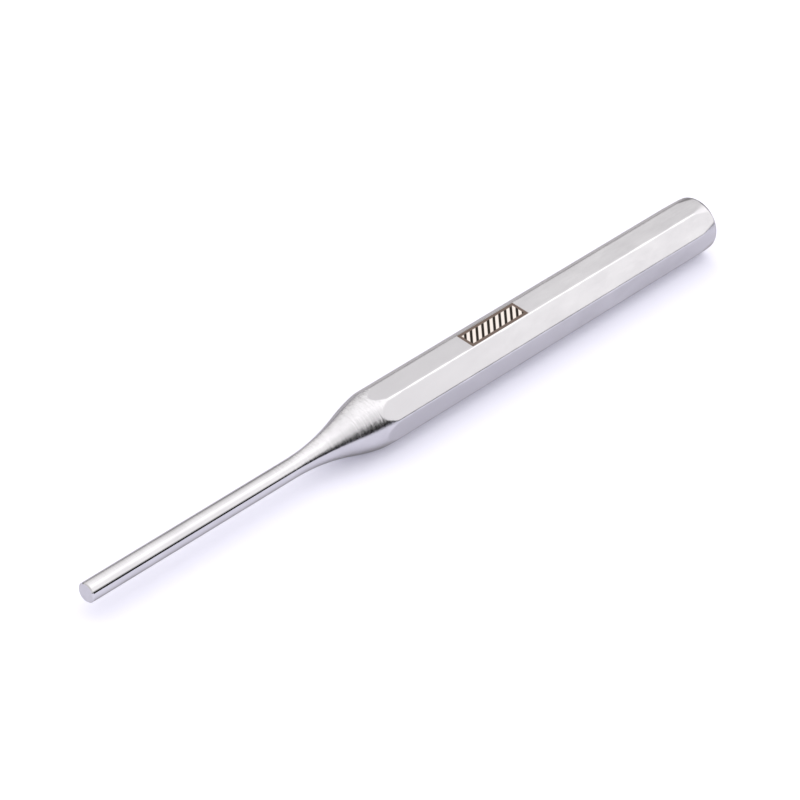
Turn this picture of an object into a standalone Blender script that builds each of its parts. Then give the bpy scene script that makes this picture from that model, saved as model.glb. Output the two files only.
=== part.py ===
# Pin punch, forged and turned from one octagonal steel bar.
# It lies on one flat of its body. Its axis runs along X, the pin's tip at -X and the struck head at +X.

import math
import bpy
import bmesh
from mathutils import Matrix

MM = 0.001

# Octagonal body
SIDES = 8
ACROSS_FLATS = 10.0 * MM
CORNER_ROUNDING = 0.75 * MM

# Pin
PIN_DIAMETER = 3.5 * MM
PIN_LENGTH = 45.5 * MM
TIP_CHAMFER = 0.18 * MM

# Turned shoulder between the pin and the body: a hollow arc, then a swelling one
HOLLOW_RADIUS = 42.5 * MM
SWELL_RADIUS = 40.0 * MM

# Struck head
OVERALL_LENGTH = 150.0 * MM
HEAD_TAPER_LENGTH = 4.4 * MM
HEAD_TAPER_ANGLE = math.radians(4.5)
HEAD_EDGE_ROUNDING = 1.1 * MM

# How far the turned blank stands outside the bar's corners, and the bar past the blank's ends
TURNING_CLEARANCE = 0.25 * MM
BAR_OVERRUN = 2.0 * MM

# Fineness of the round stretches
TURN_STEPS = 72
HOLLOW_STEPS = 10
SWELL_STEPS = 10
HEAD_EDGE_STEPS = 7
CORNER_STEPS = 4
SMOOTH_ANGLE = math.radians(12.0)

# Satin ground steel
STEEL_COLOUR = (0.67, 0.66, 0.67, 1.0)
STEEL_ROUGHNESS = 0.28

half_flats = ACROSS_FLATS / 2.0
half_side_angle = math.pi / SIDES
corner_radius = (half_flats - CORNER_ROUNDING) / math.cos(half_side_angle) + CORNER_ROUNDING
turned_radius = corner_radius + TURNING_CLEARANCE
pin_radius = PIN_DIAMETER / 2.0


def clear_scene():
    for obj in list(bpy.data.objects):
        bpy.data.objects.remove(obj, do_unlink=True)


def tip_points():
    return [(0.0, pin_radius - TIP_CHAMFER), (TIP_CHAMFER, pin_radius)]


def shoulder_points():
    # The arcs meet at one slope, and leave level with the pin and with the turned blank.
    radii_sum = HOLLOW_RADIUS + SWELL_RADIUS
    steepest = math.acos(1.0 - (turned_radius - pin_radius) / radii_sum)
    shoulder_end = PIN_LENGTH + radii_sum * math.sin(steepest)
    points = []
    for step in range(HOLLOW_STEPS + 1):
        slope = steepest * step / HOLLOW_STEPS
        x = PIN_LENGTH + HOLLOW_RADIUS * math.sin(slope)
        points.append((x, pin_radius + HOLLOW_RADIUS * (1.0 - math.cos(slope))))
    for step in range(1, SWELL_STEPS + 1):
        slope = steepest * (1.0 - step / SWELL_STEPS)
        x = shoulder_end - SWELL_RADIUS * math.sin(slope)
        points.append((x, turned_radius - SWELL_RADIUS * (1.0 - math.cos(slope))))
    return points


def head_points():
    # The taper meets the bar's corners HEAD_TAPER_LENGTH before the end, then rounds into the struck face.
    slope = math.tan(HEAD_TAPER_ANGLE)
    taper_start = OVERALL_LENGTH - HEAD_TAPER_LENGTH - TURNING_CLEARANCE / slope
    end_radius = corner_radius - HEAD_TAPER_LENGTH * slope
    turn = math.pi / 2.0 - HEAD_TAPER_ANGLE
    face_radius = end_radius - HEAD_EDGE_ROUNDING * math.tan(turn / 2.0)
    points = [(taper_start, turned_radius)]
    for step in range(HEAD_EDGE_STEPS + 1):
        heading = HEAD_TAPER_ANGLE + turn * step / HEAD_EDGE_STEPS
        x = OVERALL_LENGTH - HEAD_EDGE_ROUNDING * (1.0 - math.sin(heading))
        points.append((x, face_radius + HEAD_EDGE_ROUNDING * math.cos(heading)))
    return points


def turned_blank():
    """The outline spun about X, its two ends closed by flat discs."""
    bm = bmesh.new()
    verts = [bm.verts.new((x, 0.0, radius)) for x, radius in tip_points() + shoulder_points() + head_points()]
    edges = [bm.edges.new(pair) for pair in zip(verts, verts[1:])]
    bmesh.ops.spin(bm, geom=verts + edges, cent=(0, 0, 0), axis=(1, 0, 0),
                   steps=TURN_STEPS, angle=2.0 * math.pi, use_merge=True)
    bmesh.ops.holes_fill(bm, edges=bm.edges, sides=TURN_STEPS)
    bmesh.ops.recalc_face_normals(bm, faces=bm.faces)
    return finish_mesh(bm, "turned_blank")


def octagonal_bar():
    """A bar with rounded corners that lies on one of its flats."""
    bm = bmesh.new()
    to_section = Matrix.Rotation(math.pi / 2.0, 4, 'Y') @ Matrix.Rotation(half_side_angle, 4, 'Z')
    start = Matrix.Translation((-BAR_OVERRUN, 0.0, 0.0))
    bmesh.ops.create_circle(bm, cap_ends=True, segments=SIDES, matrix=start @ to_section,
                            radius=half_flats / math.cos(half_side_angle))
    grown = bmesh.ops.extrude_face_region(bm, geom=list(bm.faces))
    far_end = [item for item in grown["geom"] if isinstance(item, bmesh.types.BMVert)]
    bmesh.ops.translate(bm, verts=far_end, vec=(OVERALL_LENGTH + 2.0 * BAR_OVERRUN, 0.0, 0.0))
    long_edges = [edge for edge in bm.edges if edge.calc_length() > OVERALL_LENGTH]
    bmesh.ops.bevel(bm, geom=long_edges, offset=CORNER_ROUNDING * math.tan(half_side_angle),
                    offset_type='OFFSET', segments=CORNER_STEPS, profile=0.5, affect='EDGES')
    bmesh.ops.recalc_face_normals(bm, faces=bm.faces)
    return finish_mesh(bm, "octagonal_bar")


def finish_mesh(bm, name):
    mesh = bpy.data.meshes.new(name)
    bm.to_mesh(mesh)
    bm.free()
    return mesh


def steel_material():
    material = bpy.data.materials.new("satin_steel")
    material.use_nodes = True
    shader = material.node_tree.nodes["Principled BSDF"]
    shader.inputs["Base Color"].default_value = STEEL_COLOUR
    shader.inputs["Metallic"].default_value = 1.0
    shader.inputs["Roughness"].default_value = STEEL_ROUGHNESS
    return material


def add_object(name, mesh):
    obj = bpy.data.objects.new(name, mesh)
    bpy.context.collection.objects.link(obj)
    return obj


def pin_punch():
    """What the turned blank and the octagonal bar have in common is the punch."""
    blank = add_object("pin_punch", turned_blank())
    bar = add_object("bar_section", octagonal_bar())
    cut = blank.modifiers.new("octagonal_body", 'BOOLEAN')
    cut.operation = 'INTERSECT'
    cut.solver = 'EXACT'
    cut.object = bar
    evaluated = blank.evaluated_get(bpy.context.evaluated_depsgraph_get())
    mesh = bpy.data.meshes.new_from_object(evaluated)
    blank.modifiers.clear()
    blank.data = mesh
    bpy.data.objects.remove(bar, do_unlink=True)
    mesh.materials.clear()
    mesh.materials.append(steel_material())
    mesh.shade_smooth()
    mesh.set_sharp_from_angle(angle=SMOOTH_ANGLE)
    blank.location = (-OVERALL_LENGTH / 2.0, 0.0, half_flats)
    return blank


clear_scene()
pin_punch()
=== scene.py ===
import bpy
import bmesh
import math
from mathutils import Matrix, Vector


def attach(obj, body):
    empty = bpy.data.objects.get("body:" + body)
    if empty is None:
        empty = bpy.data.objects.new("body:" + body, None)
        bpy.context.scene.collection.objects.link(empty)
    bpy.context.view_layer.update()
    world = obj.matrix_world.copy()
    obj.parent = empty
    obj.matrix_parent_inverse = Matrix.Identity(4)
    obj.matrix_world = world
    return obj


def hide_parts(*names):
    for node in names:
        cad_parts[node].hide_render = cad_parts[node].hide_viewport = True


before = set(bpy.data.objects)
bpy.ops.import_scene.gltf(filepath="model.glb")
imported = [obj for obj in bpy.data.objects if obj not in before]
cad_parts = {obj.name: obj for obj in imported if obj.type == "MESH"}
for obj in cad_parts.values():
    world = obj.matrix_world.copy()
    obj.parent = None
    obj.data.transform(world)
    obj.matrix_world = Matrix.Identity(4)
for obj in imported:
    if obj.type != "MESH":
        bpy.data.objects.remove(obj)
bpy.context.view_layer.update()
mm = 0.001
print("frame loaded, nodes:", *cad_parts)


# small helpers for node trees

def addNode(tree, kind, **settings):
    node = tree.nodes.new(kind)
    for name, value in settings.items():
        setattr(node, name, value)
    return node


def feed(tree, socket, value):
    # a socket is linked, anything else becomes the socket's own value
    if isinstance(value, bpy.types.NodeSocket):
        tree.links.new(value, socket)
    else:
        socket.default_value = value


def calculator(tree):
    # calc("ADD", a, b) lays one math node and gives its result
    def calc(operation, *values):
        node = addNode(tree, "ShaderNodeMath", operation=operation)
        for socket, value in zip(node.inputs, values):
            feed(tree, socket, value)
        return node.outputs[0]
    return calc


def choose(calc, which, yes, no):
    # which is 1 for yes and 0 for no
    return calc("ADD", calc("MULTIPLY", yes, which), calc("MULTIPLY", no, calc("SUBTRACT", 1.0, which)))


def otherLeg(calc, longSide, leg):
    # third side of a right-angled triangle
    return calc("SQRT", calc("SUBTRACT", calc("POWER", longSide, 2.0), calc("POWER", leg, 2.0)))


def mapRange(tree, value, fromMin, fromMax, toMin, toMax, curve="LINEAR"):
    node = addNode(tree, "ShaderNodeMapRange", clamp=True, interpolation_type=curve)
    for socket, item in zip(node.inputs, (value, fromMin, fromMax, toMin, toMax)):
        feed(tree, socket, item)
    return node.outputs[0]


def mix(tree, kind, factor, first, second):
    node = addNode(tree, "ShaderNodeMix", data_type=kind)
    feed(tree, node.inputs["Factor"], factor)
    feed(tree, node.inputs["A"], first)
    feed(tree, node.inputs["B"], second)
    return node.outputs["Result"]


def splitVector(tree, vector):
    parts = addNode(tree, "ShaderNodeSeparateXYZ")
    feed(tree, parts.inputs[0], vector)
    return parts.outputs


# the punch: a turned outline cut into an eight-sided bar, both worked out by nodes

punch = {
    # each size is an input of the node tree, under this name
    "sizes": {
        "Overall length": 150.0 * mm,
        "Across flats": 10.0 * mm,
        "Corner rounding": 0.75 * mm,
        "Pin diameter": 3.5 * mm,
        "Pin length": 45.5 * mm,
        "Tip chamfer": 0.18 * mm,
        "Hollow radius": 42.5 * mm,
        "Swell radius": 40.0 * mm,
        "Turning clearance": 0.25 * mm,
        "Head taper length": 4.4 * mm,
        "Head taper angle": math.radians(4.5),
        "Head edge rounding": 1.1 * mm,
        "Edge softness": 0.04 * mm,
        "Grinding band": 0.02 * mm,
        "Merge distance": 0.0005 * mm,
    },
    "sides": 8,
    # rings along each stretch, from the tip on
    "rings": {"tip": 3, "pin": 14, "hollow": 36, "swell": 110, "body": 12, "taper": 60, "edge": 14},
    "headRingsFrom": 1.25,  # the head's close rings begin this many taper lengths before the end
    "cornerPoints": 4,  # over half a rounded corner
    "flatPoints": 18,  # over a flat
    "flatMargin": 0.00001,  # in radians, keeps a flat's end points on the flat
    "sharpAngle": math.radians(30.0),
}
halfSide = math.pi / punch["sides"]
ringCount = sum(punch["rings"].values())
sidePoints = 2 * punch["cornerPoints"] + punch["flatPoints"]


def addWorkedSizes(calc, size):
    # sizes that follow from the given ones
    size["Half flats"] = calc("MULTIPLY", size["Across flats"], 0.5)
    size["Pin radius"] = calc("MULTIPLY", size["Pin diameter"], 0.5)
    size["Corner inset"] = calc("SUBTRACT", size["Half flats"], size["Corner rounding"])
    size["Corner centre"] = calc("DIVIDE", size["Corner inset"], math.cos(halfSide))
    size["Corner radius"] = calc("ADD", size["Corner centre"], size["Corner rounding"])
    size["Turned radius"] = calc("ADD", size["Corner radius"], size["Turning clearance"])

    # the two arcs of the shoulder meet at one slope
    rise = calc("SUBTRACT", size["Turned radius"], size["Pin radius"])
    radiiSum = calc("ADD", size["Hollow radius"], size["Swell radius"])
    steepest = calc("ARCCOSINE", calc("SUBTRACT", 1.0, calc("DIVIDE", rise, radiiSum)))
    size["Hollow run"] = calc("MULTIPLY", size["Hollow radius"], calc("SINE", steepest))
    size["Swell run"] = calc("MULTIPLY", size["Swell radius"], calc("SINE", steepest))
    size["Swell start"] = calc("ADD", size["Pin length"], size["Hollow run"])
    size["Shoulder end"] = calc("ADD", size["Swell start"], size["Swell run"])

    # the head: a shallow taper, then a rounding into the struck face
    size["Head slope"] = calc("TANGENT", size["Head taper angle"])
    size["Edge turn"] = calc("SUBTRACT", math.pi / 2.0, size["Head taper angle"])
    size["Taper start"] = calc("SUBTRACT", size["Overall length"], size["Head taper length"])
    headRings = calc("MULTIPLY", size["Head taper length"], punch["headRingsFrom"])
    size["Head start"] = calc("SUBTRACT", size["Overall length"], headRings)
    taperDrop = calc("MULTIPLY", size["Head taper length"], size["Head slope"])
    endRadius = calc("SUBTRACT", size["Corner radius"], taperDrop)
    edgeDrop = calc("MULTIPLY", size["Head edge rounding"],
                    calc("TANGENT", calc("MULTIPLY", size["Edge turn"], 0.5)))
    size["Face radius"] = calc("SUBTRACT", endRadius, edgeDrop)
    edgeRun = calc("MULTIPLY", size["Head edge rounding"],
                   calc("SUBTRACT", 1.0, calc("SINE", size["Head taper angle"])))
    size["Edge start"] = calc("SUBTRACT", size["Overall length"], edgeRun)


def pointSheet(tree, calc):
    # a flat sheet of quads: its first axis becomes the length, its second goes round
    roundPoints = punch["sides"] * sidePoints + 1
    sheet = addNode(tree, "GeometryNodeMeshGrid")
    feed(tree, sheet.inputs["Vertices X"], ringCount + 3)
    feed(tree, sheet.inputs["Vertices Y"], roundPoints)
    index = addNode(tree, "GeometryNodeInputIndex").outputs[0]
    column = calc("FLOOR", calc("DIVIDE", calc("ADD", index, 0.5), roundPoints))
    row = calc("SUBTRACT", index, calc("MULTIPLY", column, roundPoints))
    along = calc("DIVIDE", calc("SUBTRACT", column, 1.0), ringCount)
    sidesPast = calc("DIVIDE", row, sidePoints)
    # the first and the last column close the ends on the axis
    pastFirst = calc("GREATER_THAN", column, 0.5)
    beforeLast = calc("LESS_THAN", column, ringCount + 1.5)
    onSurface = calc("MULTIPLY", pastFirst, beforeLast)
    return sheet.outputs["Mesh"], along, sidesPast, onSurface


def ringShares(tree, along):
    # for each stretch, a value that runs from 0 to 1 over its own rings and stays there
    shares = {}
    first = 0
    for name, count in punch["rings"].items():
        last = first + count
        shares[name] = mapRange(tree, along, first / ringCount, last / ringCount, 0.0, 1.0)
        first = last
    return shares


def ringPlace(calc, size, share, edgeAngle):
    # where a ring stands along the axis
    lengths = {
        "tip": size["Tip chamfer"],
        "pin": calc("SUBTRACT", size["Pin length"], size["Tip chamfer"]),
        "hollow": size["Hollow run"],
        "swell": size["Swell run"],
        "body": calc("SUBTRACT", size["Head start"], size["Shoulder end"]),
        "taper": calc("SUBTRACT", size["Edge start"], size["Head start"]),
    }
    place = 0.0
    for name, length in lengths.items():
        place = calc("ADD", place, calc("MULTIPLY", share[name], length))
    edgeReach = calc("SUBTRACT", calc("SINE", edgeAngle), calc("SINE", size["Head taper angle"]))
    return calc("ADD", place, calc("MULTIPLY", size["Head edge rounding"], edgeReach))


def turnedOutline(calc, size, place, share, edgeAngle):
    # radius of the turned outline at this place
    pastPin = calc("MAXIMUM", calc("SUBTRACT", place, size["Pin length"]), 0.0)
    hollowDrop = otherLeg(calc, size["Hollow radius"], pastPin)
    hollow = calc("ADD", size["Pin radius"], calc("SUBTRACT", size["Hollow radius"], hollowDrop))
    beforeEnd = calc("MAXIMUM", calc("SUBTRACT", size["Shoulder end"], place), 0.0)
    swellDrop = otherLeg(calc, size["Swell radius"], beforeEnd)
    swell = calc("SUBTRACT", size["Turned radius"], calc("SUBTRACT", size["Swell radius"], swellDrop))
    shoulder = choose(calc, calc("GREATER_THAN", place, size["Swell start"]), swell, hollow)
    tip = calc("ADD", calc("SUBTRACT", size["Pin radius"], size["Tip chamfer"]), place)
    fromTaper = calc("SUBTRACT", place, size["Taper start"])
    taper = calc("SUBTRACT", size["Corner radius"], calc("MULTIPLY", fromTaper, size["Head slope"]))
    edgeRadius = calc("MULTIPLY", size["Head edge rounding"], calc("COSINE", edgeAngle))
    edge = calc("ADD", size["Face radius"], edgeRadius)
    head = choose(calc, calc("GREATER_THAN", share["edge"], 0.0), edge, taper)
    return calc("MINIMUM", calc("MINIMUM", shoulder, tip), head)


def barOutline(tree, calc, size, sidesPast):
    # radius of the eight-sided bar, and the direction that it is measured in
    sideNumber = calc("FLOOR", sidesPast)
    acrossSide = calc("SUBTRACT", sidesPast, sideNumber)
    cornerShare = punch["cornerPoints"] / sidePoints
    firstCorner = mapRange(tree, acrossSide, 0.0, cornerShare, 0.0, 1.0)
    overFlat = mapRange(tree, acrossSide, cornerShare, 1.0 - cornerShare, 0.0, 1.0)
    lastCorner = mapRange(tree, acrossSide, 1.0 - cornerShare, 1.0, 0.0, 1.0)
    flatHalfWidth = calc("MULTIPLY", size["Corner inset"], math.tan(halfSide))
    flatAngle = calc("ARCTANGENT", calc("DIVIDE", flatHalfWidth, size["Half flats"]))
    cornerSpan = calc("SUBTRACT", halfSide, flatAngle)
    angle = calc("ADD", -halfSide, calc("MULTIPLY", calc("ADD", firstCorner, lastCorner), cornerSpan))
    angle = calc("ADD", angle, calc("MULTIPLY", overFlat, calc("MULTIPLY", flatAngle, 2.0)))
    flat = calc("DIVIDE", size["Half flats"], calc("COSINE", angle))
    fromCorner = calc("SUBTRACT", halfSide, calc("ABSOLUTE", angle))
    aside = calc("MULTIPLY", size["Corner centre"], calc("SINE", fromCorner))
    outward = calc("MULTIPLY", size["Corner centre"], calc("COSINE", fromCorner))
    corner = calc("ADD", outward, otherLeg(calc, size["Corner rounding"], aside))
    inCorner = calc("LESS_THAN", fromCorner, calc("SUBTRACT", cornerSpan, punch["flatMargin"]))
    heading = calc("ADD", calc("MULTIPLY", sideNumber, 2.0 * halfSide), angle)
    return choose(calc, inCorner, corner, flat), heading


def passThrough(tree, geometry, kind, values, **settings):
    node = addNode(tree, kind, **settings)
    feed(tree, node.inputs["Geometry"], geometry)
    for name, value in values.items():
        feed(tree, node.inputs[name], value)
    return node.outputs["Geometry"]


def punchTree():
    tree = bpy.data.node_groups.new("turned and ground bar", "GeometryNodeTree")
    tree.interface.new_socket("Geometry", in_out="OUTPUT", socket_type="NodeSocketGeometry")
    for name, value in punch["sizes"].items():
        socket = tree.interface.new_socket(name, in_out="INPUT", socket_type="NodeSocketFloat")
        socket.default_value = value
    tree.interface.new_socket("Steel", in_out="INPUT", socket_type="NodeSocketMaterial")
    given = addNode(tree, "NodeGroupInput").outputs
    calc = calculator(tree)
    size = {name: given[name] for name in punch["sizes"]}
    addWorkedSizes(calc, size)

    flow, along, sidesPast, onSurface = pointSheet(tree, calc)
    share = ringShares(tree, along)
    edgeAngle = calc("ADD", size["Head taper angle"], calc("MULTIPLY", share["edge"], size["Edge turn"]))
    place = ringPlace(calc, size, share, edgeAngle)
    turned = turnedOutline(calc, size, place, share, edgeAngle)
    bar, heading = barOutline(tree, calc, size, sidesPast)

    # the smaller of the two, with a soft edge where they meet
    radius = calc("SMOOTH_MIN", turned, bar, size["Edge softness"])
    radius = calc("MULTIPLY", radius, onSurface)
    rise = calc("MULTIPLY", radius, calc("SINE", heading))
    spot = addNode(tree, "ShaderNodeCombineXYZ")
    feed(tree, spot.inputs["X"], calc("SUBTRACT", place, calc("MULTIPLY", size["Overall length"], 0.5)))
    feed(tree, spot.inputs["Y"], calc("MULTIPLY", radius, calc("COSINE", heading)))
    feed(tree, spot.inputs["Z"], calc("ADD", size["Half flats"], rise))

    # 1 on the ground flats and corners, 0 on what is turned
    band = size["Grinding band"]
    ground = mapRange(tree, calc("SUBTRACT", turned, bar), calc("MULTIPLY", band, -1.0), band, 0.0, 1.0)
    flow = passThrough(tree, flow, "GeometryNodeStoreNamedAttribute", {"Name": "ground", "Value": ground},
                       data_type="FLOAT", domain="POINT")
    flow = passThrough(tree, flow, "GeometryNodeSetPosition", {"Position": spot.outputs["Vector"]})
    flow = passThrough(tree, flow, "GeometryNodeMergeByDistance", {"Distance": size["Merge distance"]})
    flow = passThrough(tree, flow, "GeometryNodeRealizeInstances", {})
    flow = passThrough(tree, flow, "GeometryNodeSetMaterial", {"Material": given["Steel"]})
    feed(tree, addNode(tree, "NodeGroupOutput").inputs["Geometry"], flow)
    return tree


def makePunch(steel):
    tree = punchTree()
    obj = bpy.data.objects.new("punch", bpy.data.meshes.new("punch"))
    bpy.context.collection.objects.link(obj)
    lathe = obj.modifiers.new("turned and ground bar", "NODES")
    lathe.node_group = tree
    for item in tree.interface.items_tree:
        if item.in_out == "INPUT":
            lathe[item.identifier] = steel if item.name == "Steel" else punch["sizes"][item.name]
    made = obj.evaluated_get(bpy.context.evaluated_depsgraph_get())
    mesh = bpy.data.meshes.new_from_object(made)
    obj.modifiers.remove(lathe)
    work = bmesh.new()
    work.from_mesh(mesh)
    bmesh.ops.recalc_face_normals(work, faces=work.faces)
    work.to_mesh(mesh)
    work.free()
    mesh.shade_smooth()
    mesh.set_sharp_from_angle(angle=punch["sharpAngle"])
    obj.data = mesh
    print("punch:", len(mesh.vertices), "points,", len(mesh.polygons), "faces")
    return obj


# surface effects, each a group that a material places with its own values

def effectGroup(name, vectors, numbers, output):
    tree = bpy.data.node_groups.new(name, "ShaderNodeTree")
    for label in vectors:
        tree.interface.new_socket(label, in_out="INPUT", socket_type="NodeSocketVector")
    for label in numbers:
        tree.interface.new_socket(label, in_out="INPUT", socket_type="NodeSocketFloat")
    tree.interface.new_socket(output, in_out="OUTPUT", socket_type="NodeSocketFloat")
    given = addNode(tree, "NodeGroupInput").outputs
    result = addNode(tree, "NodeGroupOutput").inputs[output]
    return tree, given, result


def placeGroup(tree, group, vector, values):
    node = addNode(tree, "ShaderNodeGroup", node_tree=group)
    feed(tree, node.inputs["Vector"], vector)
    for name, value in values.items():
        feed(tree, node.inputs[name], value)
    return node.outputs[0]


def toolLines():
    # fine lines left by a tool: close together across them, long drawn along them
    tree, given, result = effectGroup("tool lines", ["Vector", "Stretch"], ["Roughness", "Detail"], "Height")
    spread = addNode(tree, "ShaderNodeVectorMath", operation="MULTIPLY")
    feed(tree, spread.inputs[0], given["Vector"])
    feed(tree, spread.inputs[1], given["Stretch"])
    grain = addNode(tree, "ShaderNodeTexNoise", noise_dimensions="3D")
    feed(tree, grain.inputs["Vector"], spread.outputs[0])
    feed(tree, grain.inputs["Scale"], 1.0)
    feed(tree, grain.inputs["Detail"], given["Detail"])
    feed(tree, grain.inputs["Roughness"], given["Roughness"])
    feed(tree, result, grain.outputs["Fac"])
    return tree


def specks():
    # a few small stains: only a share of the cells holds one, full strength out to its core
    tree, given, result = effectGroup("specks", ["Vector"], ["Scale", "Share", "Size", "Core"], "Mask")
    calc = calculator(tree)
    cells = addNode(tree, "ShaderNodeTexVoronoi")
    feed(tree, cells.inputs["Vector"], given["Vector"])
    feed(tree, cells.inputs["Scale"], given["Scale"])
    draw = addNode(tree, "ShaderNodeSeparateColor")
    feed(tree, draw.inputs["Color"], cells.outputs["Color"])
    chosen = calc("LESS_THAN", draw.outputs["Red"], given["Share"])
    core = calc("MULTIPLY", given["Size"], given["Core"])
    near = mapRange(tree, cells.outputs["Distance"], core, given["Size"], 1.0, 0.0)
    feed(tree, result, calc("MULTIPLY", chosen, near))
    return tree


def cornerWear():
    # rubbed patches along the corners of the bar, whose axis runs at this height
    numbers = ["Height", "Width", "Patchiness", "Detail", "Patches from", "Patches to", "Least", "Softness"]
    tree, given, result = effectGroup("corner wear", ["Vector"], numbers, "Mask")
    calc = calculator(tree)
    parts = splitVector(tree, given["Vector"])
    angle = calc("ARCTAN2", calc("SUBTRACT", parts["Z"], given["Height"]), parts["Y"])
    fromCorner = calc("PINGPONG", calc("SUBTRACT", angle, halfSide), halfSide)
    patches = addNode(tree, "ShaderNodeTexNoise")
    feed(tree, patches.inputs["Vector"], given["Vector"])
    feed(tree, patches.inputs["Scale"], given["Patchiness"])
    feed(tree, patches.inputs["Detail"], given["Detail"])
    spread = mapRange(tree, patches.outputs["Fac"], given["Patches from"], given["Patches to"],
                      given["Least"], 1.0)
    reach = calc("MULTIPLY", given["Width"], spread)
    away = calc("SMOOTH_MIN", calc("DIVIDE", fromCorner, reach), 1.0, given["Softness"])
    feed(tree, result, calc("SUBTRACT", 1.0, away))
    return tree


# the steel, and the etched panel on the upper flat; places are measured from the punch's middle

steelLook = {
    "colour": (0.60, 0.594, 0.628, 1.0),
    "darkColour": (0.490, 0.483, 0.516, 1.0),
    "edgeTint": (0.47, 0.455, 0.405, 1.0),
    "stainColour": (0.30, 0.29, 0.30, 1.0),
    "wearColour": (0.66, 0.655, 0.685, 1.0),
    "pinRoughness": 0.055,
    "shoulderRoughness": 0.13,
    "groundRoughness": 0.24,
    "headRoughness": 0.26,
    "roughnessSpread": 0.07,
    # depth of the tool lines, in millimetres; fine rings take a share of the depth
    "pinRings": 0.006,
    "shoulderRings": 0.09,
    "grindLines": 0.010,
    "fineRingShare": 0.4,
    # tool lines to the metre, along the punch and across it
    "turning": {"Stretch": (2400.0, 90.0, 90.0), "Roughness": 0.65, "Detail": 3.0},
    "fineRings": {"Stretch": (9000.0, 500.0, 500.0), "Roughness": 0.7, "Detail": 3.0},
    "grinding": {"Stretch": (60.0, 2200.0, 2200.0), "Roughness": 0.6, "Detail": 3.0},
    "cloud": {"Stretch": (140.0, 380.0, 380.0), "Roughness": 0.6, "Detail": 3.0},
    "cloudRange": (0.18, 0.82),
    "stains": {"Scale": 150.0, "Share": 0.4, "Size": 0.06, "Core": 0.4},
    "cornerWear": {
        "Height": 0.5 * punch["sizes"]["Across flats"],
        "Width": math.radians(4.0),
        "Patchiness": 220.0,
        "Detail": 4.0,
        "Patches from": 0.42,
        "Patches to": 0.62,
        "Least": 0.15,
        "Softness": 0.3,
    },
    "shoulderStart": (-35.0 * mm, -20.0 * mm),
    "headStart": (60.0 * mm, 68.0 * mm),
    # painted shade: over this stretch the flats' colour darkens towards the shoulder, by this share
    "paintedShadeStretch": (-8.0 * mm, 38.0 * mm),
    "paintedShadeShare": 0.8,
}
etchedPanel = {
    "start": 12.1 * mm,
    "end": 26.3 * mm,
    "halfWidth": 1.9 * mm,
    "frame": 0.6 * mm,
    "soft": 0.05 * mm,
    "topBand": 0.05 * mm,  # how far below the upper flat the panel may reach
    "hatchPitch": 1.45 * mm,
    "hatchWidth": 0.46,  # share of the pitch
    "hatchSoft": 0.04,  # share of the pitch
    "frameColour": (0.175, 0.135, 0.12, 1.0),
    "fieldColour": (0.76, 0.70, 0.675, 1.0),
    "hatchColour": (0.03, 0.025, 0.022, 1.0),
    "fieldMetallic": 0.15,
    "addedRoughness": 0.35,
}


def steelRelief(tree, calc, lines, where, ground, onShoulder):
    # rings left by turning, deeper on the shoulder, and long grinding lines on the flats
    turning = placeGroup(tree, lines, where, steelLook["turning"])
    fineRings = placeGroup(tree, lines, where, steelLook["fineRings"])
    grinding = placeGroup(tree, lines, where, steelLook["grinding"])
    fine = calc("MULTIPLY", calc("SUBTRACT", fineRings, 0.5), steelLook["fineRingShare"])
    turned = calc("ADD", calc("SUBTRACT", turning, 0.5), fine)
    ringDepth = calc("ADD", steelLook["pinRings"], calc("MULTIPLY", onShoulder, steelLook["shoulderRings"]))
    turned = calc("MULTIPLY", turned, ringDepth)
    grindLines = calc("MULTIPLY", calc("SUBTRACT", grinding, 0.5), steelLook["grindLines"])
    bump = addNode(tree, "ShaderNodeBump")
    feed(tree, bump.inputs["Strength"], 1.0)
    feed(tree, bump.inputs["Distance"], mm)
    feed(tree, bump.inputs["Height"], mix(tree, "FLOAT", ground, turned, grindLines))
    return bump.outputs["Normal"]


def panelMasks(tree, calc, where):
    # the panel, the field inside its frame, and the pale part between the slanting hatch lines
    x, y, z = splitVector(tree, where)
    middle = 0.5 * (etchedPanel["start"] + etchedPanel["end"])
    halfLength = 0.5 * (etchedPanel["end"] - etchedPanel["start"])
    pastEnd = calc("SUBTRACT", calc("ABSOLUTE", calc("SUBTRACT", x, middle)), halfLength)
    pastSide = calc("SUBTRACT", calc("ABSOLUTE", y), etchedPanel["halfWidth"])
    outside = calc("MAXIMUM", pastEnd, pastSide)
    pastFrame = calc("ADD", outside, etchedPanel["frame"])
    onTop = calc("GREATER_THAN", z, punch["sizes"]["Across flats"] - etchedPanel["topBand"])
    soft = etchedPanel["soft"]
    inPanel = calc("MULTIPLY", mapRange(tree, outside, -soft, soft, 1.0, 0.0), onTop)
    inField = calc("MULTIPLY", mapRange(tree, pastFrame, -soft, soft, 1.0, 0.0), onTop)
    slant = calc("DIVIDE", calc("SUBTRACT", x, y), etchedPanel["hatchPitch"])
    wave = calc("ABSOLUTE", calc("SUBTRACT", calc("FRACT", slant), 0.5))
    lineEdge = 0.5 * etchedPanel["hatchWidth"]
    hatchSoft = etchedPanel["hatchSoft"]
    betweenLines = mapRange(tree, wave, lineEdge - hatchSoft, lineEdge + hatchSoft, 0.0, 1.0)
    return inPanel, inField, betweenLines


def steelColour(tree, calc, where, ground, shade, inPanel, inField, betweenLines):
    # shade holds the random cloudy tone and the painted shade next to the shoulder
    colour = mix(tree, "RGBA", shade, steelLook["darkColour"], steelLook["colour"])
    rubbed = calc("MULTIPLY", placeGroup(tree, cornerWear(), where, steelLook["cornerWear"]), ground)
    colour = mix(tree, "RGBA", rubbed, colour, steelLook["wearColour"])
    stain = placeGroup(tree, specks(), where, steelLook["stains"])
    colour = mix(tree, "RGBA", stain, colour, steelLook["stainColour"])
    field = mix(tree, "RGBA", betweenLines, etchedPanel["hatchColour"], etchedPanel["fieldColour"])
    etched = mix(tree, "RGBA", inField, etchedPanel["frameColour"], field)
    return mix(tree, "RGBA", inPanel, colour, etched)


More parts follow.
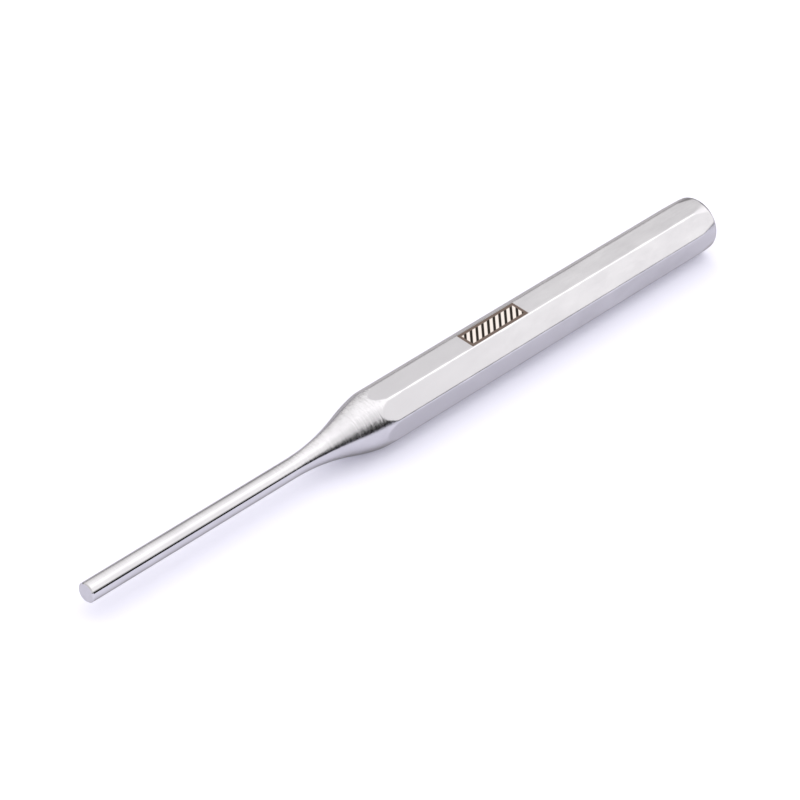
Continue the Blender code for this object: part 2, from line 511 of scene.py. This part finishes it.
def steelRoughness(tree, calc, ground, onShoulder, onHead, shade, inPanel):
    pin = steelLook["pinRoughness"]
    turned = calc("ADD", pin, calc("MULTIPLY", onShoulder, steelLook["shoulderRoughness"] - pin))
    turned = calc("ADD", turned, calc("MULTIPLY", onHead, steelLook["headRoughness"] - pin))
    roughness = mix(tree, "FLOAT", ground, turned, steelLook["groundRoughness"])
    clouded = calc("MULTIPLY", calc("SUBTRACT", shade, 0.5), steelLook["roughnessSpread"])
    roughness = calc("ADD", roughness, clouded)
    return calc("ADD", roughness, calc("MULTIPLY", inPanel, etchedPanel["addedRoughness"]))


def steelMaterial():
    material = bpy.data.materials.new("satin steel")
    material.use_nodes = True
    tree = material.node_tree
    tree.nodes.clear()
    calc = calculator(tree)
    shader = addNode(tree, "ShaderNodeBsdfPrincipled")
    feed(tree, addNode(tree, "ShaderNodeOutputMaterial").inputs["Surface"], shader.outputs[0])
    shader.inputs["Specular Tint"].default_value = steelLook["edgeTint"]
    where = addNode(tree, "ShaderNodeTexCoord").outputs["Object"]
    ground = addNode(tree, "ShaderNodeAttribute", attribute_name="ground").outputs["Fac"]
    x = splitVector(tree, where)["X"]
    onHead = mapRange(tree, x, *steelLook["headStart"], 0.0, 1.0)
    pastPin = mapRange(tree, x, *steelLook["shoulderStart"], 0.0, 1.0)
    onShoulder = calc("MULTIPLY", pastPin, calc("SUBTRACT", 1.0, onHead))

    lines = toolLines()
    cloud = placeGroup(tree, lines, where, steelLook["cloud"])
    shade = mapRange(tree, cloud, *steelLook["cloudRange"], 0.0, 1.0)
    # painted shade: the flats' colour is darkened next to the shoulder
    paintedShade = mapRange(tree, x, *steelLook["paintedShadeStretch"], steelLook["paintedShadeShare"], 0.0)
    shade = calc("MULTIPLY", shade, calc("SUBTRACT", 1.0, calc("MULTIPLY", paintedShade, ground)))

    inPanel, inField, betweenLines = panelMasks(tree, calc, where)
    colour = steelColour(tree, calc, where, ground, shade, inPanel, inField, betweenLines)
    feed(tree, shader.inputs["Base Color"], colour)
    # the pale field mirrors less, so that its hatch lines show
    pale = calc("MULTIPLY", inField, betweenLines)
    metalLoss = calc("MULTIPLY", pale, 1.0 - etchedPanel["fieldMetallic"])
    feed(tree, shader.inputs["Metallic"], calc("SUBTRACT", 1.0, metalLoss))
    roughness = steelRoughness(tree, calc, ground, onShoulder, onHead, shade, inPanel)
    feed(tree, shader.inputs["Roughness"], roughness)
    feed(tree, shader.inputs["Normal"], steelRelief(tree, calc, lines, where, ground, onShoulder))
    print("steel ready:", len(tree.nodes), "nodes")
    return material


steel = steelMaterial()
punchPiece = makePunch(steel)
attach(punchPiece, "root")
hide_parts("pin_punch")
print("punch stands for the pin_punch node")


# the floor

floorLook = {"size": 3.0, "colour": (0.785, 0.782, 0.888, 1.0), "roughness": 0.9, "lift": 0.20}


def makeFloor():
    mesh = bpy.data.meshes.new("floor")
    work = bmesh.new()
    bmesh.ops.create_grid(work, x_segments=1, y_segments=1, size=floorLook["size"])
    work.to_mesh(mesh)
    work.free()
    floor = bpy.data.objects.new("floor", mesh)
    bpy.context.collection.objects.link(floor)
    material = bpy.data.materials.new("white paper")
    material.use_nodes = True
    tree = material.node_tree
    shader = tree.nodes["Principled BSDF"]
    shader.inputs["Base Color"].default_value = floorLook["colour"]
    shader.inputs["Roughness"].default_value = floorLook["roughness"]
    shader.inputs["Specular IOR Level"].default_value = 0.0
    shader.inputs["Emission Color"].default_value = floorLook["colour"]
    # seen by the camera or mirrored in the steel, the paper is lifted a little
    calc = calculator(tree)
    ray = addNode(tree, "ShaderNodeLightPath")
    seen = calc("MAXIMUM", ray.outputs["Is Camera Ray"], ray.outputs["Is Glossy Ray"])
    seen = calc("MAXIMUM", seen, ray.outputs["Is Transmission Ray"])
    feed(tree, shader.inputs["Emission Strength"], calc("MULTIPLY", seen, floorLook["lift"]))
    mesh.materials.append(material)


makeFloor()
print("floor laid")


# studio light: a pale tent that is bright overhead and beyond the punch, dark on the near side and
# at the horizon

tent = {
    "colour": (1.0, 0.985, 0.955, 1.0),
    "facing": (0.45, 0.56, 0.695),
    "edge": (-0.12, 0.16),
    "level": 1.27,
    "topEdge": (0.40, 0.80),
    "topLevel": 0.50,
    "rightLevel": 0.44,
    "leftEdge": (-0.15, -0.55),
    "leftLevel": 1.05,
    "farEdge": (-0.15, 0.25),
    "farRise": (0.0, 0.95),
    "farLow": 0.20,
    "stripMiddle": 0.36,
    "stripEdge": (0.08, 0.22),
    "stripShare": 0.8,
    "cornerEdge": (0.73, 0.80),
    "cornerHeight": (0.34, 0.50),
    "cornerShare": 0.95,
    "horizon": (0.04, 0.14),
    "gapLevel": 0.01,
}


def makeTent():
    world = bpy.data.worlds.new("light tent")
    bpy.context.scene.world = world
    world.use_nodes = True
    tree = world.node_tree
    tree.nodes.clear()
    calc = calculator(tree)

    def soften(value, edge, low, high):
        return mapRange(tree, value, *tent[edge], low, high, "SMOOTHSTEP")

    direction = addNode(tree, "ShaderNodeTexCoord").outputs["Generated"]
    x, y, z = splitVector(tree, direction)
    towards = addNode(tree, "ShaderNodeVectorMath", operation="DOT_PRODUCT")
    feed(tree, towards.inputs[0], direction)
    feed(tree, towards.inputs[1], tent["facing"])
    facing = towards.outputs["Value"]
    lit = soften(facing, "edge", 0.0, 1.0)
    far = soften(y, "farEdge", 0.0, 1.0)
    # a paler strip in the far side, seen in the shoulder
    fromStrip = calc("ABSOLUTE", calc("SUBTRACT", x, tent["stripMiddle"]))
    strip = soften(fromStrip, "stripEdge", tent["stripShare"], 0.0)
    far = calc("MULTIPLY", far, calc("SUBTRACT", 1.0, strip))
    right = mapRange(tree, x, 0.0, 1.0, 0.0, tent["rightLevel"])
    right = calc("MULTIPLY", right, calc("SUBTRACT", 1.0, far))
    level = calc("MULTIPLY", lit, calc("ADD", right, tent["level"]))
    level = calc("ADD", level, soften(facing, "topEdge", 0.0, tent["topLevel"]))
    # towards the far side the tent darkens downwards
    fall = calc("SUBTRACT", 1.0, mapRange(tree, z, *tent["farRise"], tent["farLow"], 1.0))
    level = calc("MULTIPLY", level, calc("SUBTRACT", 1.0, calc("MULTIPLY", far, fall)))
    level = calc("MAXIMUM", level, soften(x, "leftEdge", 0.0, tent["leftLevel"]))
    level = calc("MULTIPLY", level, mapRange(tree, z, *tent["horizon"], 0.0, 1.0))
    # a dark corner low on the far right, seen in the head's rim
    low = soften(z, "cornerHeight", tent["cornerShare"], 0.0)
    beside = soften(x, "cornerEdge", 0.0, 1.0)
    corner = calc("MULTIPLY", calc("MULTIPLY", low, beside), far)
    level = calc("MULTIPLY", level, calc("SUBTRACT", 1.0, corner))
    light = addNode(tree, "ShaderNodeBackground")
    feed(tree, light.inputs["Color"], tent["colour"])
    feed(tree, light.inputs["Strength"], calc("ADD", level, tent["gapLevel"]))
    feed(tree, addNode(tree, "ShaderNodeOutputWorld").inputs["Surface"], light.outputs[0])


makeTent()
print("light set")


# the camera, recovered from the photograph's edges

view = {
    "spot": (-0.3788, -0.3061, 0.3933),
    "aim": (-0.0029, 0.0004, 0.005),
    "roll": math.radians(6.19),
    "focalPixels": 3720.0,
    "imagePixels": 800.0,
    "sensor": 36.0,
    "clip": (0.01, 20.0),
}


def makeCamera():
    data = bpy.data.cameras.new("camera")
    data.sensor_width = view["sensor"]
    data.lens = view["focalPixels"] / view["imagePixels"] * view["sensor"]
    data.clip_start, data.clip_end = view["clip"]
    obj = bpy.data.objects.new("camera", data)
    bpy.context.collection.objects.link(obj)
    spot = Vector(view["spot"])
    look = (Vector(view["aim"]) - spot).normalized()
    turn = look.to_track_quat("-Z", "Y").to_matrix()
    obj.matrix_world = Matrix.Translation(spot) @ (turn @ Matrix.Rotation(view["roll"], 3, "Z")).to_4x4()
    bpy.context.scene.camera = obj


makeCamera()
bpy.context.scene.view_settings.view_transform = "Standard"
print("camera set")
